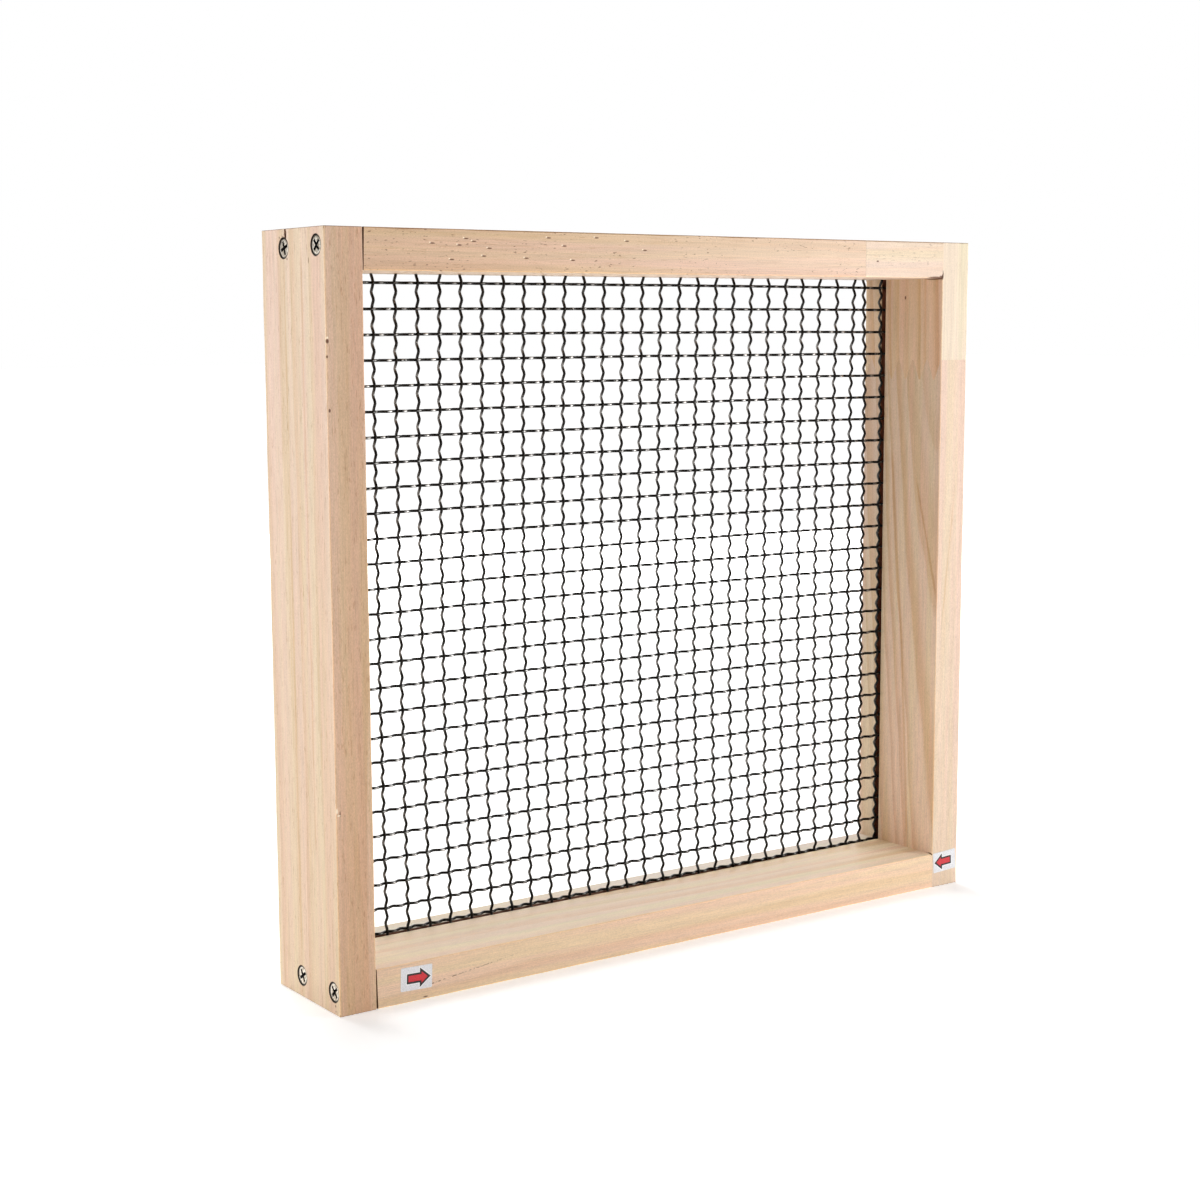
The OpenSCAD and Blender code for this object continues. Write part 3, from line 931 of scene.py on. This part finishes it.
def bend_out(u, wander):
    """Distance of a wire from the middle of the screen, u bends along from its first crossing."""
    at_crossing = max(0.0, (math.cos(math.tau * u / 3) + 0.5) / 1.5)
    size = CRIMP_BETWEEN + (CRIMP_CROSSING - CRIMP_BETWEEN) * at_crossing
    swing = math.cos(math.pi * (u + wander * math.sin(math.tau * u / 3)))
    return size * (0.88 * swing + 0.12 * swing**3)


def arch(t):
    """Height of the bulge across half the opening: 1 in the middle at 0, and 0 from the boards at 1 on."""
    return max(0.0, 1 - t * t)


def bulge_at(x, z):
    """How far the screen bulges to the back."""
    return BULGE * arch(x / HALF_OPEN_X) * arch((z - TOP / 2) / HALF_OPEN_Z)


def drift_in_plane(x, z):
    """How far the screen's weave lies to the right of, and above, an even weave."""
    u, v = x / (RIGHT - LEFT) * 2, z / TOP * 2 - 1
    to_right = RIGHT - BOARD_T - x
    sideways = 1.0 + 1.65 * u - 1.0 * u * u - 0.6 * v + 0.3 * u * v
    # The last upright is held in place by the right stile
    sideways *= min(1.0, max(0.0, (to_right - 11) / 10))
    upwards = -0.3 - 0.3 * u + 0.55 * v - 0.4 * u * u + 0.3 * u * v
    from_pinch = x - PINCH_X
    near_top = min(1.0, max(0.0, (z - PINCH_LOW) / PINCH_RISE))
    sideways -= PINCH_SHIFT * near_top * from_pinch / 8 * math.exp(-((from_pinch / PINCH_REACH) ** 2))
    sideways += WANDER * noise.noise(Vector((x * 0.08, z * 0.03, 3.1)))
    upwards += WANDER * noise.noise(Vector((x * 0.03, z * 0.08, 9.7)))
    return sideways, upwards


def wire_rings(points, side_vector, radius):
    """Rings of a round wire along its points. side_vector is square to the plane of its bends."""
    rings = []
    for k, point in enumerate(points):
        before, after = points[max(k - 1, 0)], points[min(k + 1, len(points) - 1)]
        ahead = (after - before).normalized()
        side = (side_vector - ahead * side_vector.dot(ahead)).normalized()
        up = ahead.cross(side)
        trim = 0.8 if k in (0, len(points) - 1) else 1.0
        ring = []
        for step in range(WIRE_SIDES):
            angle = math.tau * step / WIRE_SIDES
            ring.append(point + (side * math.cos(angle) + up * math.sin(angle)) * radius * trim)
        rings.append(ring)
    return rings


def make_wires(name, start, count, upright, material):
    """Every second wire of one direction, from wire number start."""
    bm = bmesh.new()
    for number in range(start, count, 2):
        rng = random.Random(100 * number + (1 if upright else 2))
        wander = rng.uniform(-0.05, 0.05)
        if upright:
            begin, stop, first, step, sign = WARP_LOW.z, WARP_HIGH.z, FIRST_Z, WEFT_PITCH / 3, -1
            across = FIRST_X + number * WARP_PITCH
        else:
            begin, stop, first, step, sign = WEFT_LOW.x, WEFT_HIGH.x, FIRST_X, WARP_PITCH / 3, 1
            across = FIRST_Z + number * WEFT_PITCH
        sign *= 1 if number % 2 == 0 else -1
        points = []
        quarter = math.ceil((begin - first) / step * 4)
        while first + quarter / 4 * step <= stop:
            along = first + quarter / 4 * step
            x, z = (across, along) if upright else (along, across)
            out = SCREEN_Y + bulge_at(x, z) + sign * bend_out(quarter / 4, wander)
            sideways, upwards = drift_in_plane(x, z)
            points.append(Vector((x + sideways, out, z + upwards)))
            quarter += 1
        square = Vector((1, 0, 0)) if upright else Vector((0, 0, 1))
        add_rings(bm, wire_rings(points, square, WIRE_D / 2))
    piece = make_object("wire_" + name, bm, [material], 50)
    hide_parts(name)
    return piece


def thread_radius(depth, angle):
    """Radius of the screw's shank at a depth below its head's top, with one helical thread."""
    thread_end = SCREW_LEN - TIP_LEN
    if depth < PLAIN_LEN:
        return SHANK_R
    core = CORE_R
    if depth > thread_end:
        core = CORE_R * max(0.08, (SCREW_LEN - depth) / TIP_LEN)
    turn = (depth / THREAD_PITCH - angle / math.tau) % 1.0
    ridge = max(0.0, 1 - abs(turn - 0.5) / THREAD_FLANK)
    fade = min(1.0, (depth - PLAIN_LEN) / THREAD_PITCH, max(0.0, (SCREW_LEN - 1 - depth) / TIP_LEN))
    return core + (THREAD_R - CORE_R) * ridge * fade


def make_screw(name, side, head, turn, metals):
    """Countersunk wood screw with a cross recess."""
    inward = 1 if side == "left" else -1
    top = head + Vector((inward * HEAD_SINK, 0, 0))
    depths = [0.0, 0.05, 0.15, HEAD_EDGE, HEAD_H, HEAD_H + 0.3, PLAIN_LEN]
    fine = THREAD_PITCH / 8
    depth = PLAIN_LEN + fine
    while depth < SCREW_LEN:
        depths.append(depth)
        depth += fine
    head_radii = {
        0.0: HEAD_R - 0.14, 0.05: HEAD_R - 0.05, 0.15: HEAD_R, HEAD_EDGE: HEAD_R, HEAD_H: SHANK_R + 0.15,
    }
    rings = []
    for depth in depths:
        ring = []
        for k in range(HEAD_SIDES):
            angle = math.tau * k / HEAD_SIDES
            radius = head_radii.get(depth) or thread_radius(depth, angle)
            ring.append(top + Vector((inward * depth, radius * math.cos(angle), radius * math.sin(angle))))
        rings.append(ring)
    bm = bmesh.new()
    add_rings(bm, rings)
    piece = make_object(name + "_zinc", bm, metals)

    rings = []
    lean = math.radians(-turn if side == "left" else turn)
    for depth, reach, half in RECESS_LEVELS:
        corner = [(reach, -half), (reach, half), (half, half)]
        ring = []
        for quarter in range(4):
            spin = lean + math.pi / 2 * quarter
            for out, over in corner:
                across = out * math.cos(spin) - over * math.sin(spin)
                rise = out * math.sin(spin) + over * math.cos(spin)
                ring.append(top + Vector((inward * depth, across, rise)))
        rings.append(ring)
    bm = bmesh.new()
    add_rings(bm, rings, 1)
    carve(piece, [make_object("cut_recess", bm, metals)])
    piece.data.shade_smooth()
    piece.data.set_sharp_from_angle(angle=math.radians(35))
    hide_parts(name)
    return piece


def arrow_outline(grow):
    """Arrow that points to the right, seven points from the tip on, with every side moved out by grow."""
    slope = math.atan2(ARROW_BARB, ARROW_NECK - ARROW_TIP)
    tip = LABEL_W - ARROW_TIP + grow / math.sin(slope)
    neck = LABEL_W - ARROW_NECK - grow
    tail = LABEL_W - ARROW_TAIL - grow
    barb = (tip - neck) * math.tan(slope)
    half = ARROW_HALF + grow
    upper = [(neck, barb), (neck, half), (tail, half)]
    lower = [(x, -y) for x, y in reversed(upper)]
    return [(x, LABEL_H / 2 + y) for x, y in [(tip, 0.0), *upper, *lower]]


def make_label(name, papers, turned):
    """Small foil label with a printed arrow. papers are the foil, key line, black and red."""
    tilt = LABEL_TILT[name]
    low, high = box_mm(name)
    middle = (low + high) / 2
    spin = math.radians(tilt + (180 if turned else 0))

    def place(x, y, lift):
        """A point on the label, moved out of its face by lift."""
        across, up = x - LABEL_W / 2, y - LABEL_H / 2
        right = across * math.cos(spin) - up * math.sin(spin)
        rise = across * math.sin(spin) + up * math.cos(spin)
        return Vector((middle.x + right, FRONT - lift, middle.z + rise))

    edge = []
    corners = [(LABEL_W, LABEL_H, 0), (0, LABEL_H, 90), (0, 0, 180), (LABEL_W, 0, 270)]
    for x, y, start in corners:
        centre_x = x - LABEL_CORNER if x else LABEL_CORNER
        centre_y = y - LABEL_CORNER if y else LABEL_CORNER
        for step in range(ARC_STEPS + 1):
            angle = math.radians(start + 90 * step / ARC_STEPS)
            across, up = LABEL_CORNER * math.cos(angle), LABEL_CORNER * math.sin(angle)
            edge.append((centre_x + across, centre_y + up))
    outlines = [arrow_outline(grow) for grow in (ARROW_KEY, 0.0, -ARROW_LINE)]
    bm = bmesh.new()
    backing = [bm.verts.new(place(x, y, 0.0)) for x, y in edge]
    rim = [bm.verts.new(place(x, y, LABEL_T)) for x, y in edge]
    loops = [[bm.verts.new(place(x, y, LABEL_T)) for x, y in outline] for outline in outlines]
    bm.faces.new(backing)
    for k in range(len(edge)):
        after = (k + 1) % len(edge)
        bm.faces.new([backing[k], backing[after], rim[after], rim[k]])
    flat = rim + loops[0]
    sheets = [[Vector((x, y, 0)) for x, y in edge], [Vector((x, y, 0)) for x, y in outlines[0]]]
    for triangle in geometry.tessellate_polygon(sheets):
        bm.faces.new([flat[index] for index in triangle])
    for level in (0, 1):
        for k in range(len(loops[0])):
            after = (k + 1) % len(loops[0])
            ring = [loops[level][k], loops[level][after], loops[level + 1][after], loops[level + 1][k]]
            bm.faces.new(ring).material_index = level + 1
    bm.faces.new(loops[2]).material_index = 3
    piece = make_object("arrow_" + name, bm, papers)
    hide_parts(name)
    return piece


def make_pieces():
    """Builds every visible piece and lets it ride on the frame's one body."""
    pieces = make_boards()
    warp_steel = wire_steel("warp_steel", -0.9, 0.6, (0.3, 0.285, 0.27, 1))
    weft_steel = wire_steel("weft_steel", 0.85, 1.3, (0.75, 0.74, 0.72, 1))
    for letter, start in (("a", 0), ("b", 1)):
        pieces.append(make_wires("warp_wires_" + letter, start, WARP_COUNT, True, warp_steel))
        pieces.append(make_wires("weft_wires_" + letter, start, WEFT_COUNT, False, weft_steel))
    metals = [zinc(), recess_shade()]
    for name, side, head in screw_places():
        turn = TURNS[name.split("_", 2)[2]]
        pieces.append(make_screw(name, side, head, turn, metals))
    papers = [
        printed("label_foil", rgb(208, 208, 211), rgb(238, 238, 242), 0.35),
        printed("label_key_line", rgb(240, 240, 240), rgb(250, 250, 250), 0.4),
        printed("label_black", rgb(14, 6, 8), rgb(26, 12, 14), 0.4),
        printed("label_red", rgb(194, 18, 34), rgb(220, 40, 52), 0.4),
    ]
    pieces.append(make_label("label_left", papers, False))
    pieces.append(make_label("label_right", papers, True))
    for piece in pieces:
        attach(piece, "root")


# ------------------------ studio

# (name, place in metres, size in metres, power in watts) of each soft box
LAMPS = [
    ("soft_box_right", (0.7, -0.7, 0.3), 0.4, 5.4),
    ("soft_box_left", (-1.2, 0.0, 0.4), 0.8, 6.5),
    ("soft_box_above", (0.0, 0.7, 1.4), 0.8, 16.5),
    ("soft_box_behind", (0.8, 1.4, 0.6), 1.2, 15.0),
]
# The photo's camera, solved from the frame's edges: metres, degrees and millimetres
CAMERA_PLACE = (-0.52235, -0.70523, 0.26355)
CAMERA_TURN = (82.3747, 0.2112, -35.2775)
LENS = 61.63
SENSOR = 36
# Strength of the white room as a light. The camera sees it at full strength
ROOM_LIGHT = 0.15
FLOOR_HALF = 12000


def make_floor():
    """Pale floor, wide enough to run past the view."""
    bm = bmesh.new()
    bmesh.ops.create_grid(bm, x_segments=8, y_segments=8, size=FLOOR_HALF)
    floor = make_object("studio_floor", bm, [pale_floor()])
    floor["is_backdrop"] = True


def make_lamp(name, place, size, power):
    """Square soft box that faces the middle of the frame."""
    light = bpy.data.lights.new(name, "AREA")
    light.size = size
    light.energy = power
    lamp = bpy.data.objects.new(name, light)
    lamp.location = place
    bpy.context.scene.collection.objects.link(lamp)
    direction = Vector((0, 0, TOP / 2 * MM)) - lamp.location
    lamp.rotation_euler = direction.to_track_quat("-Z", "Y").to_euler()


def make_studio():
    """White room, soft boxes, pale floor and the camera."""
    world = bpy.data.worlds.new("white_room")
    world.use_nodes = True
    bpy.context.scene.world = world
    nodes, links = world.node_tree.nodes, world.node_tree.links
    room = nodes["Background"]
    room.inputs["Color"].default_value = (1.0, 1.0, 1.0, 1)
    room.inputs["Strength"].default_value = ROOM_LIGHT
    backdrop = nodes.new("ShaderNodeBackground")
    backdrop.inputs["Color"].default_value = (1.0, 1.0, 1.0, 1)
    path = nodes.new("ShaderNodeLightPath")
    blend = nodes.new("ShaderNodeMixShader")
    links.new(path.outputs["Is Camera Ray"], blend.inputs[0])
    links.new(room.outputs[0], blend.inputs[1])
    links.new(backdrop.outputs[0], blend.inputs[2])
    links.new(blend.outputs[0], nodes["World Output"].inputs["Surface"])

    for lamp in LAMPS:
        make_lamp(*lamp)
    make_floor()

    camera_data = bpy.data.cameras.new("camera")
    camera_data.lens = LENS
    camera_data.sensor_width = SENSOR
    camera = bpy.data.objects.new("camera", camera_data)
    camera.location = CAMERA_PLACE
    camera.rotation_euler = [math.radians(angle) for angle in CAMERA_TURN]
    bpy.context.scene.collection.objects.link(camera)
    bpy.context.scene.camera = camera
    bpy.context.scene.view_settings.view_transform = "Standard"


make_studio()
make_pieces()
boxes = {"cad": cad_box, "visual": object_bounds()}
{name: [list(corner) for corner in box] for name, box in boxes.items()}
